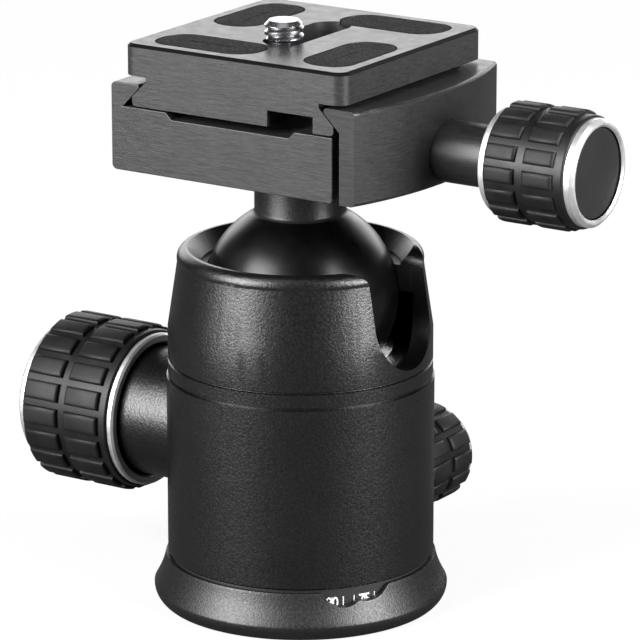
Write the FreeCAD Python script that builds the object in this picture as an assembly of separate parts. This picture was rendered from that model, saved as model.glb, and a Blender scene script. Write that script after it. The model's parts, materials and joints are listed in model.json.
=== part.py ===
import FreeCAD, Part
import math
import os

# Tripod ball head, millimetres, +Z up.
# The origin is the centre of the base's underside, on the pan axis.
# +X is the side of the drop notch and of the plate clamp's knob.
# -X is the side of the ball-lock knob, +Y the side of the pan-lock knob.

V = FreeCAD.Vector
X, Y, Z = V(1, 0, 0), V(0, 1, 0), V(0, 0, 1)

# Fits and seats
running_gap = 0.05         # radial clearance where one piece turns or slides in another
seat_gap = 0.03            # left between two faces that press on each other when locked
curved_gap = 0.25          # radial clearance between curved faces that never meet
thread_gap = 0.05          # radial clearance of a screw modelled without its thread

# Housing radius, which the base, the scale ring and the rim follow
body_r = 22.0

# Turning base
foot_r = body_r + 1.1      # radius at the tripod's platform
foot_bulge = 0.8           # how far the foot's rounding stands out below the crest
crest_r = body_r + 2.3     # widest radius of the flare
crest_z = 2.6
lip_r = body_r + 0.35      # radius at the flare's upper edge
lip_z = 7.6
flare_dip = 0.25           # how far the flare bows inwards between crest and lip
recess_floor_z = 3.0       # floor of the recess that the scale ring turns in
spindle_r = 9.0
spindle_top_z = 20.0
shoulder_r = 14.0
shoulder_top_z = 7.0
tripod_thread_r = 4.0      # wall of the 3/8 inch tapped hole
tripod_thread_depth = 9.5
brake_groove_depth = 0.6
washer_r = 13.0
window_angle = -32.2       # the point between the two scallops, degrees from +X
window_point_z = 5.95      # height of that point, which is the scale's index
window_floor_z = 5.2       # floor of the larger scallop
window_left = 6.0          # from the point to the larger scallop's end
window_right = 4.4         # from the point to the smaller scallop's end
window_right_z = 6.3       # height where the smaller scallop runs into its sloping end
window_right_floor_z = 5.7
window_end = 5.9           # from the point to the top of the sloping end
retainer_r = 11.0
retainer_t = 1.0
retainer_groove = 0.7      # depth of the spindle groove that holds the retainer

# Scale ring and the collar that turns on the spindle
scale_r = body_r - 0.5
scale_wall = 1.5
scale_bottom_z = 3.6
scale_flange_t = 1.6
collar_floor_z = 18.0      # floor of the counterbore in the collar's top
collar_top_z = 20.8
counterbore_r = 12.5
ring_screw_circle_r = 16.9
track_screw_circle_r = 15.5
set_screw_start_r = 14.8
set_screw_sink = 0.5       # from the housing's surface to the screw's end
set_screw_socket_r = 0.75
set_screw_socket_depth = 1.7
blind_extra = 0.4          # how far a tapped hole runs past its screw

# Housing
body_bottom_z = 8.0
cavity_r = 18.5
upper_r = body_r - 0.25    # radius above the lower groove
groove_low_z = 38.5
groove_high_z = 41.1
groove_w = 0.5
groove_depth = 0.4
taper_start_z = 46.5
taper_end_z = 57.5
taper_end_r = body_r - 1.9
rim_z = 59.8
rim_r = body_r - 3.2       # outer end of the rim's rounded edge
rim_bulge_in = 0.26        # the rounding's middle, in from the taper's end
rim_bulge_down = 0.72      # and down from the rim
bevel_top_r = body_r - 3.6
bevel_bottom_r = 16.3
lip_under_z = 56.8         # underside of the lip that holds the seat ring
notch_w = 16.0
notch_start_x = 8.0
notch_bottom_z = 42.3
notch_corner_r = 3.0
lock_boss_r = 10.9
lock_boss_end = 30.5       # distance of the boss's end from the pan axis
edge_break = 0.3

# Ball, stem and the pieces that grip the ball
ball_z = 51.6
ball_r = 16.0
neck_r = 7.5
neck_fillet = 0.4
stem_top_z = 74.2
liner_t = 1.45
liner_bottom_z = 36.8
liner_top_z = 43.0
cup_top_z = 42.0
cup_bottom_z = 32.0
cup_boss_bottom_z = 28.0
seat_ring_bottom_z = 52.5

# Wedge that lifts the cup
lock_axis_z = 27.0
lock_screw_r = 4.0
wedge_half_l = 9.0
wedge_half_w = 7.0
wedge_mid_z = 31.3         # height of the sloping face on the pan axis
wedge_slope = 15.0         # degrees
wedge_travel = 1.25        # one turn of the lock knob
track_t = 2.0
rail_w = 2.0
rail_h = 4.0
rail_half_l = 10.0

# Pan lock
pan_axis_z = 14.2
pan_screw_r = 2.5
pan_screw_clear = 0.3      # radial clearance of the pan screw in the housing's wall
shoe_r = 2.6
shoe_back_y = 13.0
shoe_bore_end_y = 14.5

# Dovetail that the plate and the clamp share
dovetail_top_z = 89.3
dovetail_half_w = 19.1
waist_half_w = 16.4

# Plate clamp
clamp_floor_z = 84.8
clamp_left_x = -22.1
clamp_right_x = 20.0
clamp_half_l = 21.4
clamp_hook_top_z = dovetail_top_z - 0.7
clamp_corner_r = 0.9
relief_left_x = -11.5
relief_right_x = 11.8
relief_depth = 1.1
mount_screw_r = 3.0
mount_head_r = 5.2
mount_head_h = 3.2
mount_head_top_z = 83.2
mount_socket_r = 2.9       # corner radius of the hexagon socket
mount_socket_depth = 2.0
mount_screw_bottom_z = 64.0
mount_washer_t = 0.5
hook_nose = 0.56           # height of the blunt nose at each hook's tip
hook_reach = 1.3           # how far the fixed hook leans over the plate
hook_clear = 0.1           # clearance square to the dovetail's slope

# Moving jaw
jaw_inner_x = 21.3
jaw_side_x = 24.07         # outer face at the jaw's two ends
jaw_mid_x = 27.9           # outer face in the middle
jaw_top_z = dovetail_top_z + 0.1
jaw_edge_r = 0.6
jaw_hook_reach = 1.9
jaw_boss_r = 5.0
jaw_boss_end_x = 38.4
jaw_axis_z = 79.5
jaw_screw_r = 2.5
jaw_screw_tip_x = 7.0
pin_r = 1.5
pin_y = 13.0
pin_start_x = 8.0
pin_end_x = 25.4
pin_bore_extra = 0.4
clip_t = 0.7
clip_r = 4.0
clip_x = 20.35             # inner face of the clip that draws the jaw open

# Quick-release plate
plate_x = 1.2              # plate's centre line
plate_y = -0.6
plate_half_w = 20.9
plate_half_l = 20.95
plate_top_z = 95.2
plate_waist_z = dovetail_top_z + 0.7
plate_bottom_z = 85.1
plate_corner_r = 2.2
plate_edge = 0.5
foot_round = 0.7
channel_left = 6.8         # underside channel, from the plate's centre line
channel_right = 15.3
channel_depth = 2.6
channel_back_y = 10.0
pocket_half_w = 6.7        # pocket for the camera screw's head
pocket_top_z = 88.9
pocket_margin = 7.2        # pocket's length past the slot's end centres
slot_half_w = 3.4
slot_low_y = -6.5          # centre of the slot's front end, where the screw stands
slot_high_y = 7.0
pad_len = 19.2
pad_w = 9.1
pad_inset = 2.3            # from the plate's side to the pad
pad_start = 3.1            # from the plate's corner to the pad
pad_corner_r = 3.6
pad_end_r = 4.4
pad_depth = 0.6
pad_proud = 0.15
pad_gap = 0.05

# Camera screw
camera_screw_r = 3.175
camera_screw_top_z = 98.7
camera_screw_tip = 0.6     # chamfer at the tip
camera_neck_r = 2.6        # plain neck below the thread, which slides in the slot
camera_head_r = 6.0
camera_head_bottom_z = 85.5
camera_head_h = 2.6
coin_slot_w = 1.6
coin_slot_depth = 1.2
screw_clip_r = 4.8
screw_clip_t = 0.5
screw_clip_gap = 0.05

# Small screws: shank radius, head radius, head height
base_screw = (1.25, 2.3, 1.4)
ring_screw = (1.0, 1.9, 1.0)
track_screw = (1.25, 2.2, 1.2)
set_screw_r = 1.5

# Knobs: the lock knob, the clamp knob and the pan knob
lock_knob = dict(length=20.1, inner_ring_r=12.94, outer_ring_r=12.24, core_r=12.1,
                 base_r=13.45, pad_r=14.23, recess_r=11.3, recess_depth=3.4,
                 cap_r=10.9, pads=20, screw_r=lock_screw_r,
                 inner_ring_w=1.1, outer_ring_w=1.9, inner_lip=1.5, outer_lip=0.5)
clamp_knob = dict(length=17.2, inner_ring_r=8.6, outer_ring_r=8.6, core_r=8.1,
                  base_r=9.0, pad_r=9.65, recess_r=6.6, recess_depth=0.8,
                  cap_r=7.3, pads=16, screw_r=jaw_screw_r,
                  inner_ring_w=1.25, outer_ring_w=1.65, inner_lip=0.3, outer_lip=1.7)
pan_knob = dict(length=17.6, inner_ring_r=7.75, outer_ring_r=7.75, core_r=7.3,
                base_r=8.0, pad_r=8.65, recess_r=6.0, recess_depth=0.8,
                cap_r=6.6, pads=14, screw_r=pan_screw_r,
                inner_ring_w=1.25, outer_ring_w=1.4, inner_lip=1.7, outer_lip=0.3)
lock_knob_x = 29.0         # distance of the knob's inner face from the pan axis
pan_knob_y = 25.0
knob_ring_bevel = 0.35
knob_outer_bevel = 0.6     # bevel round the outer ring's outer edge
grip_round = 0.5
grip_groove_w = 1.5        # groove between the two rows of pads
pad_slot_w = 1.1           # gap between two pads of a row
cap_sink = 0.5             # how far the cap lies below the outer ring
cap_t = 1.4
knob_screw_grip = 9.0      # length of screw that is held in the hub

# Sizes that follow from the ones above
recess_r = scale_r + curved_gap
collar_r = cavity_r - running_gap
lip_bore_r = bevel_bottom_r
notch_half = notch_w / 2
liner_in_r = ball_r + running_gap
liner_out_r = liner_in_r + liner_t
cup_seat_r = liner_out_r + running_gap
seat_ring_r = ball_r + 2 * running_gap
track_top_z = collar_top_z + track_t
brake_r = spindle_r - brake_groove_depth
slope = math.tan(math.radians(wedge_slope))


def outline(start, *steps):
    """Closed face in the XZ plane. A step is a point, or (point on the arc, end point)."""
    here = V(start[0], 0, start[1])
    first = here
    edges = []
    for step in steps:
        if isinstance(step[0], tuple):
            mid, end = V(step[0][0], 0, step[0][1]), V(step[1][0], 0, step[1][1])
            edges.append(Part.Arc(here, mid, end).toShape())
        else:
            end = V(step[0], 0, step[1])
            edges.append(Part.LineSegment(here, end).toShape())
        here = end
    if here.distanceToPoint(first) > 1e-6:
        edges.append(Part.LineSegment(here, first).toShape())
    return Part.Face(Part.Wire(edges))


def spin(face):
    """Solid of revolution about the Z axis."""
    return face.revolve(V(0, 0, 0), Z, 360)


def rod(radius, start, direction, length):
    return Part.makeCylinder(radius, length, start, direction)


def box(x0, x1, y0, y1, z0, z1):
    return Part.makeBox(x1 - x0, y1 - y0, z1 - z0, V(x0, y0, z0))


def tube(outer_r, inner_r, z0, z1):
    return spin(outline((inner_r, z0), (outer_r, z0), (outer_r, z1), (inner_r, z1)))


def polar(radius, angle, z=0.0):
    turn = math.radians(angle)
    return V(radius * math.cos(turn), radius * math.sin(turn), z)


def on_sphere(radius, z):
    """Radius, at height z, of a sphere about the ball's centre."""
    return math.sqrt(radius ** 2 - (z - ball_z) ** 2)


def sphere_arc(radius, z_from, z_to):
    """Arc step along such a sphere, from height z_from to height z_to."""
    z_mid = (z_from + z_to) / 2
    return ((on_sphere(radius, z_mid), z_mid), (on_sphere(radius, z_to), z_to))


def aimed(shape, place, direction):
    """Moves a shape that was made along +Z, so that it starts at place along direction."""
    moved = shape.copy()
    moved.Placement = FreeCAD.Placement(place, FreeCAD.Rotation(Z, direction))
    return moved


def joined(shapes):
    whole = shapes[0].fuse(shapes[1:])
    return whole.removeSplitter()


def countersunk(size, head_top_z, tip_z, place, up):
    """Screw along Z with a sunk head. up is 1 where the head is above the tip, else -1."""
    shank, head, height = size
    face = outline((0, head_top_z), (head, head_top_z), (head, head_top_z - up * 0.25),
                   (shank, head_top_z - up * height), (shank, tip_z), (0, tip_z))
    screw = spin(face)
    screw.translate(place)
    return screw


def countersink(size, head_top_z, tip_z, place, up, surface_z):
    """Hole for such a screw, open to surface_z."""
    shank, head, height = size
    hole = countersunk((shank + thread_gap, head + 0.1, height), head_top_z, tip_z, place, up)
    low, high = min(head_top_z, surface_z), max(head_top_z, surface_z)
    well = rod(head + 0.1, place + V(0, 0, low), Z, max(high - low, 0.01))
    return joined([hole, well])


# Turning base

base_screw_places = [polar((spindle_r + shoulder_r) / 2, angle) for angle in (90, 210, 330)]
base_screw_head_z = 0.3
base_screw_tip_z = 6.2


def flare_mid():
    """Middle of the flare's hollow curve."""
    return ((crest_r + lip_r) / 2 - flare_dip, (crest_z + lip_z) / 2)


def window():
    """Two scallops side by side in the flare's upper edge, where the scale shows."""
    top = lip_z + 1.0
    face = outline((window_left, lip_z),
                   ((window_left / 2, window_floor_z), (0, window_point_z)),
                   ((-window_right / 2, window_right_floor_z), (-window_right, window_right_z)),
                   (-window_end, lip_z), (-window_end, top), (window_left, top))
    cutter = face.extrude(V(0, crest_r - scale_r + 3, 0))
    cutter.translate(V(0, scale_r - 1, 0))
    cutter.rotate(V(0, 0, 0), Z, window_angle - 90)
    return cutter


def pan_base():
    face = outline((spindle_r + running_gap, 0), (foot_r, 0),
                   ((foot_r + foot_bulge, crest_z * 0.35), (crest_r, crest_z)),
                   (flare_mid(), (lip_r, lip_z)), (recess_r, lip_z), (recess_r, recess_floor_z),
                   (spindle_r + running_gap, recess_floor_z))
    body = spin(face)
    cuts = [window()]
    for place in base_screw_places:
        cuts.append(countersink(base_screw, base_screw_head_z, recess_floor_z + 1, place, -1, -1))
    return body.cut(cuts)


def pan_spindle():
    retainer_z = collar_floor_z + running_gap
    face = outline((0, tripod_thread_depth), (tripod_thread_r, tripod_thread_depth),
                   (tripod_thread_r, 0), (spindle_r, 0), (spindle_r, recess_floor_z),
                   (shoulder_r, recess_floor_z), (shoulder_r, shoulder_top_z),
                   (spindle_r, shoulder_top_z), (spindle_r, pan_axis_z - shoe_r - 0.2),
                   (brake_r, pan_axis_z - shoe_r), (brake_r, pan_axis_z + shoe_r),
                   (spindle_r, pan_axis_z + shoe_r + 0.2), (spindle_r, retainer_z),
                   (spindle_r - retainer_groove, retainer_z),
                   (spindle_r - retainer_groove, retainer_z + retainer_t),
                   (spindle_r, retainer_z + retainer_t), (spindle_r, spindle_top_z),
                   (0, spindle_top_z))
    cuts = []
    for place in base_screw_places:
        start = place + V(0, 0, recess_floor_z - 1)
        cuts.append(rod(base_screw[0] + thread_gap, start, Z, base_screw_tip_z + 0.4 - recess_floor_z + 1))
    return spin(face).cut(cuts)


def base_screws():
    return Part.makeCompound([countersunk(base_screw, base_screw_head_z, base_screw_tip_z, place, -1)
                              for place in base_screw_places])


def thrust_washer():
    return tube(washer_r, spindle_r + running_gap, shoulder_top_z, body_bottom_z)


def spindle_retainer():
    """Snap ring in the spindle's groove, open on the -X side."""
    low = collar_floor_z + running_gap
    ring = tube(retainer_r, spindle_r - retainer_groove, low, low + retainer_t)
    return ring.cut(box(-retainer_r - 1, 0, -2, 2, low - 1, low + retainer_t + 1))


# Scale ring, collar and their fasteners

ring_screw_places = [polar(ring_screw_circle_r, angle) for angle in (30, 150, 210, 330)]
ring_screw_head_z = body_bottom_z - scale_flange_t + 0.1
ring_screw_tip_z = 12.0
set_screw_angles = (60, 120)
set_screw_z = 11.5
track_screw_places = [polar(track_screw_circle_r, angle) for angle in (45, 225)]
track_screw_head_z = track_top_z - 0.1
track_screw_tip_z = 17.6


def degree_ring():
    flange_z = body_bottom_z - scale_flange_t
    skirt_in = scale_r - scale_wall
    face = outline((shoulder_r + curved_gap * 2, flange_z), (skirt_in, flange_z),
                   (skirt_in, scale_bottom_z), (scale_r, scale_bottom_z), (scale_r, body_bottom_z),
                   (shoulder_r + curved_gap * 2, body_bottom_z))
    cuts = [countersink(ring_screw, ring_screw_head_z, ring_screw_tip_z, place, -1, flange_z - 1)
            for place in ring_screw_places]
    return spin(face).cut(cuts)


def ring_screws():
    return Part.makeCompound([countersunk(ring_screw, ring_screw_head_z, ring_screw_tip_z, place, -1)
                              for place in ring_screw_places])


def pan_collar():
    """Plug in the housing's foot that turns on the spindle and carries the pan lock."""
    face = outline((spindle_r + running_gap, body_bottom_z), (collar_r, body_bottom_z),
                   (collar_r, collar_top_z), (counterbore_r, collar_top_z),
                   (counterbore_r, collar_floor_z), (spindle_r + running_gap, collar_floor_z))
    cuts = [rod(shoe_r + running_gap, V(0, 0, pan_axis_z), Y, shoe_bore_end_y),
            rod(pan_screw_r, V(0, 0, pan_axis_z), Y, cavity_r + 1)]
    for place in ring_screw_places:
        start = place + V(0, 0, body_bottom_z - 1)
        cuts.append(rod(ring_screw[0] + thread_gap, start, Z, ring_screw_tip_z + 0.5 - body_bottom_z + 1))
    for place in track_screw_places:
        start = place + V(0, 0, track_screw_tip_z - 0.4)
        cuts.append(rod(track_screw[0] + thread_gap, start, Z, collar_top_z - track_screw_tip_z + 1.4))
    for angle in set_screw_angles:
        start = polar(set_screw_start_r - blind_extra, angle, set_screw_z)
        cuts.append(rod(set_screw_r + thread_gap, start, polar(1, angle), cavity_r))
    return spin(face).cut(cuts)


def collar_set_screws():
    screws = []
    end_r = body_r - set_screw_sink
    for angle in set_screw_angles:
        start = polar(set_screw_start_r, angle, set_screw_z)
        screw = rod(set_screw_r, start, polar(1, angle), end_r - set_screw_start_r)
        floor = polar(end_r - set_screw_socket_depth, angle, set_screw_z)
        socket = rod(set_screw_socket_r, floor, polar(1, angle), 2 * set_screw_socket_depth)
        screws.append(screw.cut(socket))
    return Part.makeCompound(screws)


def track_screws():
    return Part.makeCompound([countersunk(track_screw, track_screw_head_z, track_screw_tip_z, place, 1)
                              for place in track_screw_places])


# Housing

def notch_cutter(inner_x):
    """U-shaped slot towards +X, with rounded upper corners."""
    centre_z = notch_bottom_z + notch_half
    wide = notch_half + notch_corner_r
    bend = notch_corner_r * math.sqrt(0.5)
    corner_z = rim_z - notch_corner_r
    face = outline((-notch_half, centre_z), ((0, notch_bottom_z), (notch_half, centre_z)),
                   (notch_half, corner_z),
                   ((wide - bend, corner_z + bend), (wide, rim_z)),
                   (wide, rim_z + 2), (-wide, rim_z + 2), (-wide, rim_z),
                   ((-wide + bend, corner_z + bend), (-notch_half, corner_z)))
    cutter = face.extrude(V(0, body_r + 5, 0))
    cutter.rotate(V(0, 0, 0), Z, -90)
    cutter.translate(V(inner_x, 0, 0))
    return cutter


def housing():
    half = groove_w / 2
    taper_r = taper_end_r
    bevel_z = lip_under_z + 0.3
    face = outline((cavity_r, body_bottom_z), (body_r - edge_break, body_bottom_z),
                   (body_r, body_bottom_z + edge_break), (body_r, groove_low_z - half),
                   (upper_r - groove_depth, groove_low_z - half),
                   (upper_r - groove_depth, groove_low_z + half), (upper_r, groove_low_z + half),
                   (upper_r, groove_high_z - half), (upper_r - groove_depth, groove_high_z - half / 2),
                   (upper_r - groove_depth, groove_high_z + half / 2), (upper_r, groove_high_z + half),
                   (upper_r, taper_start_z), (taper_r, taper_end_z),
                   ((taper_r - rim_bulge_in, rim_z - rim_bulge_down), (rim_r, rim_z)), (bevel_top_r, rim_z),
                   (lip_bore_r, bevel_z), (lip_bore_r, lip_under_z), (cavity_r, lip_under_z))
    shell = spin(face)
    boss = rod(lock_boss_r, V(0, 0, lock_axis_z), -X, lock_boss_end)
    boss = boss.cut(rod(cavity_r + 0.5, V(0, 0, body_bottom_z), Z, lip_under_z - body_bottom_z))
    cuts = [notch_cutter(notch_start_x),
            rod(lock_screw_r + running_gap, V(0, 0, lock_axis_z), -X, lock_boss_end + 1),
            rod(pan_screw_r + pan_screw_clear, V(0, 0, pan_axis_z), Y, body_r + 1)]
    for angle in set_screw_angles:
        start = polar(set_screw_start_r, angle, set_screw_z)
        cuts.append(rod(set_screw_r + thread_gap, start, polar(1, angle), body_r / 2))
    return joined([shell, boss]).cut(cuts)


def seat_ring():
    """Nylon ring under the rim that the ball is pressed up against, open at the notch."""
    face = outline((on_sphere(seat_ring_r, seat_ring_bottom_z), seat_ring_bottom_z),
                   (collar_r, seat_ring_bottom_z), (collar_r, lip_under_z),
                   (on_sphere(seat_ring_r, lip_under_z), lip_under_z),
                   sphere_arc(seat_ring_r, lip_under_z, seat_ring_bottom_z))
    return spin(face).cut(notch_cutter(notch_start_x))


# Ball lock

def wedge_track():
    disc = rod(collar_r, V(0, 0, collar_top_z), Z, track_t)
    inner = wedge_half_w + running_gap
    rails = [box(-rail_half_l, rail_half_l, inner, inner + rail_w, track_top_z - 0.5, track_top_z + rail_h),
             box(-rail_half_l, rail_half_l, -inner - rail_w, -inner, track_top_z - 0.5, track_top_z + rail_h)]
    cuts = [countersink(track_screw, track_screw_head_z, collar_top_z - 1, place, 1, track_top_z + 1)
            for place in track_screw_places]
    return joined([disc] + rails).cut(cuts)


def slope_z(x):
    """Height of the wedge's sloping face at x."""
    return wedge_mid_z - slope * x


def wedge_block():
    face = outline((-wedge_half_l, track_top_z), (wedge_half_l, track_top_z),
                   (wedge_half_l, slope_z(wedge_half_l)), (-wedge_half_l, slope_z(-wedge_half_l)))
    block = face.extrude(V(0, 2 * wedge_half_w, 0))
    block.translate(V(0, -wedge_half_w, 0))
    return block


def ball_cup():
    face = outline((0, cup_bottom_z), (collar_r, cup_bottom_z), (collar_r, cup_top_z),
                   (on_sphere(cup_seat_r, cup_top_z), cup_top_z),
                   ((on_sphere(cup_seat_r, ball_z - cup_seat_r * 0.8), ball_z - cup_seat_r * 0.8),
                    (0, ball_z - cup_seat_r)))
    width = wedge_half_w - 0.3
    boss = box(-wedge_half_l, wedge_half_l, -width, width, cup_boss_bottom_z, cup_bottom_z + 0.5)
    left, right = -wedge_half_l - 2 * wedge_travel, wedge_half_l + 2
    clear = wedge_half_w + 0.4
    under = outline((left, cup_boss_bottom_z - 1), (right, cup_boss_bottom_z - 1),
                    (right, slope_z(right) + seat_gap), (left, slope_z(left) + seat_gap))
    under = under.extrude(V(0, 2 * clear, 0))
    under.translate(V(0, -clear, 0))
    return joined([spin(face), boss]).cut(under)


def ball_liner():
    face = outline((on_sphere(liner_in_r, liner_bottom_z), liner_bottom_z),
                   (on_sphere(liner_out_r, liner_bottom_z), liner_bottom_z),
                   sphere_arc(liner_out_r, liner_bottom_z, liner_top_z),
                   (on_sphere(liner_in_r, liner_top_z), liner_top_z),
                   sphere_arc(liner_in_r, liner_top_z, liner_bottom_z))
    return spin(face)


def ball_stem():
    """Ball and neck in one, tapped from above for the clamp's screw."""
    start_r = neck_r + neck_fillet
    start_z = ball_z + math.sqrt(ball_r ** 2 - start_r ** 2)
    neck_z = start_z + neck_fillet * 1.6
    bend = (neck_r + neck_fillet * 0.25, start_z + neck_fillet * 0.8)
    hole_z = mount_screw_bottom_z - 1
    hole_r = mount_screw_r + thread_gap
    face = outline((0, ball_z - ball_r), ((ball_r, ball_z), (start_r, start_z)),
                   (bend, (neck_r, neck_z)), (neck_r, stem_top_z), (hole_r, stem_top_z),
                   (hole_r, hole_z), (0, hole_z))
    return spin(face)


# Pan lock

def pan_brake_shoe():
    shoe = rod(shoe_r, V(0, 0, pan_axis_z), Y, shoe_back_y)
    return shoe.cut(rod(brake_r + seat_gap, V(0, 0, 0), Z, rim_z))


# Knobs, made along +Z from the inner face

def knob_hub(k):
    length, bevel = k["length"], knob_ring_bevel
    end = length - cap_sink
    face = outline((k["screw_r"], k["recess_depth"]), (k["recess_r"], k["recess_depth"]),
                   (k["recess_r"], bevel), (k["recess_r"] + bevel, 0), (k["inner_ring_r"] - bevel, 0),
                   (k["inner_ring_r"], bevel), (k["inner_ring_r"], k["inner_ring_w"]),
                   (k["core_r"], k["inner_ring_w"]), (k["core_r"], length - k["outer_ring_w"]),
                   (k["outer_ring_r"], length - k["outer_ring_w"]),
                   (k["outer_ring_r"], length - knob_outer_bevel),
                   (k["outer_ring_r"] - knob_outer_bevel, length), (k["cap_r"] + bevel, length),
                   (k["cap_r"], length - bevel), (k["cap_r"], end - cap_t), (0, end - cap_t),
                   (0, k["recess_depth"] + knob_screw_grip),
                   (k["screw_r"], k["recess_depth"] + knob_screw_grip))
    return spin(face)


def knob_cap(k):
    end = k["length"] - cap_sink
    r = k["cap_r"] - running_gap
    return spin(outline((0, end - cap_t), (r, end - cap_t), (r, end - 0.3), (r - 0.3, end), (0, end)))


def knob_grip(k):
    """Rubber sleeve with two rows of raised pads."""
    start, end = k["inner_ring_w"], k["length"] - k["outer_ring_w"]
    base, pad, turn = k["base_r"], k["pad_r"], grip_round
    inside = k["core_r"] + running_gap
    bend = turn * (1 - math.sqrt(0.5))
    low, high = start + k["inner_lip"], end - k["outer_lip"]
    middle = (low + high) / 2
    rows = [(low, middle - grip_groove_w / 2), (middle + grip_groove_w / 2, high)]
    sleeve = spin(outline((inside, start), (base - turn, start),
                          ((base - bend, start + bend), (base, start + turn)), (base, end - turn),
                          ((base - bend, end - bend), (base - turn, end)), (inside, end)))
    bands = [tube(pad, inside, first, last) for first, last in rows]
    grip = joined([sleeve] + bands)
    slots = []
    for i in range(k["pads"]):
        slot = box(base, pad + 1, -pad_slot_w / 2, pad_slot_w / 2, start, end)
        slot.rotate(V(0, 0, 0), Z, 360.0 * i / k["pads"])
        slots.append(slot)
    return grip.cut(slots)


def knob_screw(k, reach):
    """Screw whose tip lies at -reach, before the knob's inner face."""
    tip, end = -reach, k["recess_depth"] + knob_screw_grip
    r = k["screw_r"]
    return spin(outline((0, tip), (r - 0.6, tip), (r, tip + 0.6), (r, end), (0, end)))


def knob_pieces(name, k, reach, place, direction):
    """Hub, grip, cap and screw of one knob, by node name."""
    slim = dict(k, screw_r=k["screw_r"] - thread_gap)
    shapes = {"hub": knob_hub(k), "grip": knob_grip(k), "cap": knob_cap(k),
              "screw": knob_screw(slim, reach)}
    return {name + "_" + part: aimed(shape, place, direction) for part, shape in shapes.items()}


# Plate clamp

def clamp_base():
    """Fixed half of the clamp with the hook on the -X side."""
    tip_x = plate_x - dovetail_half_w + hook_reach
    line = hook_line_left()
    tip_z = tip_x - line
    root_x = clamp_floor_z + line
    cr = clamp_corner_r
    bend = cr * (1 - math.sqrt(0.5))
    low, left, right = stem_top_z, clamp_left_x, clamp_right_x
    face = outline((left + cr, low), (right - 0.4, low), (right, low + 0.4), (right, clamp_floor_z),
                   (relief_right_x + relief_depth, clamp_floor_z),
                   (relief_right_x, clamp_floor_z - relief_depth),
                   (relief_left_x + relief_depth, clamp_floor_z - relief_depth),
                   (relief_left_x, clamp_floor_z), (root_x, clamp_floor_z), (tip_x, tip_z),
                   (tip_x, tip_z + hook_nose - 0.2), (tip_x - 0.3, clamp_hook_top_z),
                   (left + 0.5, clamp_hook_top_z), (left, clamp_hook_top_z - 0.5), (left, low + cr),
                   ((left + bend, low + bend), (left + cr, low)))
    body = face.extrude(V(0, 2 * clamp_half_l, 0))
    body.translate(V(0, -clamp_half_l, 0))
    top = mount_head_top_z + 2
    head_floor = mount_head_top_z - mount_head_h - mount_washer_t
    cuts = [rod(mount_head_r + 0.2, V(0, 0, head_floor), Z, top - head_floor),
            rod(mount_screw_r + thread_gap, V(0, 0, low - 1), Z, top - low),
            rod(jaw_screw_r, V(jaw_screw_tip_x - 1, 0, jaw_axis_z), X, clamp_right_x)]
    for side in (-1, 1):
        cuts.append(rod(pin_r, V(pin_start_x, side * pin_y, jaw_axis_z), X, clamp_right_x))
    return body.cut(cuts)


def hook_line_left():
    """x - z along the fixed hook's slope, which lies beside the plate's dovetail."""
    return plate_x - waist_half_w - dovetail_top_z - hook_clear * math.sqrt(2)


def hook_line_right():
    """x + z along the moving hook's slope."""
    return plate_x + waist_half_w + dovetail_top_z + hook_clear * math.sqrt(2)


def clamp_mount_screw():
    head_low = mount_head_top_z - mount_head_h
    screw = spin(outline((0, mount_screw_bottom_z), (mount_screw_r, mount_screw_bottom_z),
                         (mount_screw_r, head_low), (mount_head_r, head_low),
                         (mount_head_r, mount_head_top_z - 0.4), (mount_head_r - 0.4, mount_head_top_z),
                         (0, mount_head_top_z)))
    socket_z = mount_head_top_z - mount_socket_depth
    corners = [polar(mount_socket_r, 60 * i, socket_z) for i in range(7)]
    socket = Part.Face(Part.makePolygon(corners)).extrude(V(0, 0, 2 * mount_socket_depth))
    return screw.cut(socket)


def mount_washer():
    low = mount_head_top_z - mount_head_h - mount_washer_t
    return tube(mount_head_r - 0.2, mount_screw_r + 0.15, low, low + mount_washer_t)


def guide_pins():
    pins = [rod(pin_r - 0.02, V(pin_start_x, side * pin_y, jaw_axis_z), X, pin_end_x - pin_start_x)
            for side in (-1, 1)]
    return Part.makeCompound(pins)


def clamp_jaw():
    """Moving half of the clamp, with a bowed outer face and the screw's boss."""
    tip_x = plate_x + dovetail_half_w - jaw_hook_reach
    line = hook_line_right()
    tip_z = line - tip_x
    low, inner = stem_top_z, jaw_inner_x
    face = outline((inner, low), (jaw_mid_x + 2, low), (jaw_mid_x + 2, jaw_top_z),
                   (tip_x + 0.3, jaw_top_z), (tip_x, tip_z + hook_nose - 0.2), (tip_x, tip_z),
                   (inner, line - inner))
    body = face.extrude(V(0, 2 * clamp_half_l, 0))
    body.translate(V(0, -clamp_half_l, 0))
    bow = jaw_mid_x - jaw_side_x
    bow_r = (clamp_half_l ** 2 + bow ** 2) / (2 * bow)
    bowed = rod(bow_r, V(jaw_mid_x - bow_r, 0, low - 1), Z, jaw_top_z - low + 2)
    body = body.common(bowed)
    body = body.makeFillet(jaw_edge_r, [edge for edge in body.Edges if on_bow(edge, bow_r)])
    boss = rod(jaw_boss_r, V(inner + 1, 0, jaw_axis_z), X, jaw_boss_end_x - inner - 1)
    body = joined([body, boss])
    cuts = [rod(jaw_screw_r + 0.02, V(inner - 1, 0, jaw_axis_z), X, jaw_boss_end_x)]
    for side in (-1, 1):
        cuts.append(rod(pin_r + running_gap, V(inner - 1, side * pin_y, jaw_axis_z), X,
                        pin_end_x + pin_bore_extra - inner + 1))
    return body.cut(cuts)


def on_bow(edge, bow_r):
    """True for the upper and lower edges of the bowed face."""
    return edge.Curve.TypeId == "Part::GeomCircle" and abs(edge.Curve.Radius - bow_r) < 0.01


def screw_clip_ring(outer_r, inner_r, thickness):
    """Open clip along +Z, sprung onto a screw."""
    ring = tube(outer_r, inner_r, 0, thickness)
    return ring.cut(box(-outer_r - 1, 0, -inner_r * 0.6, inner_r * 0.6, -1, thickness + 1))


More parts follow.
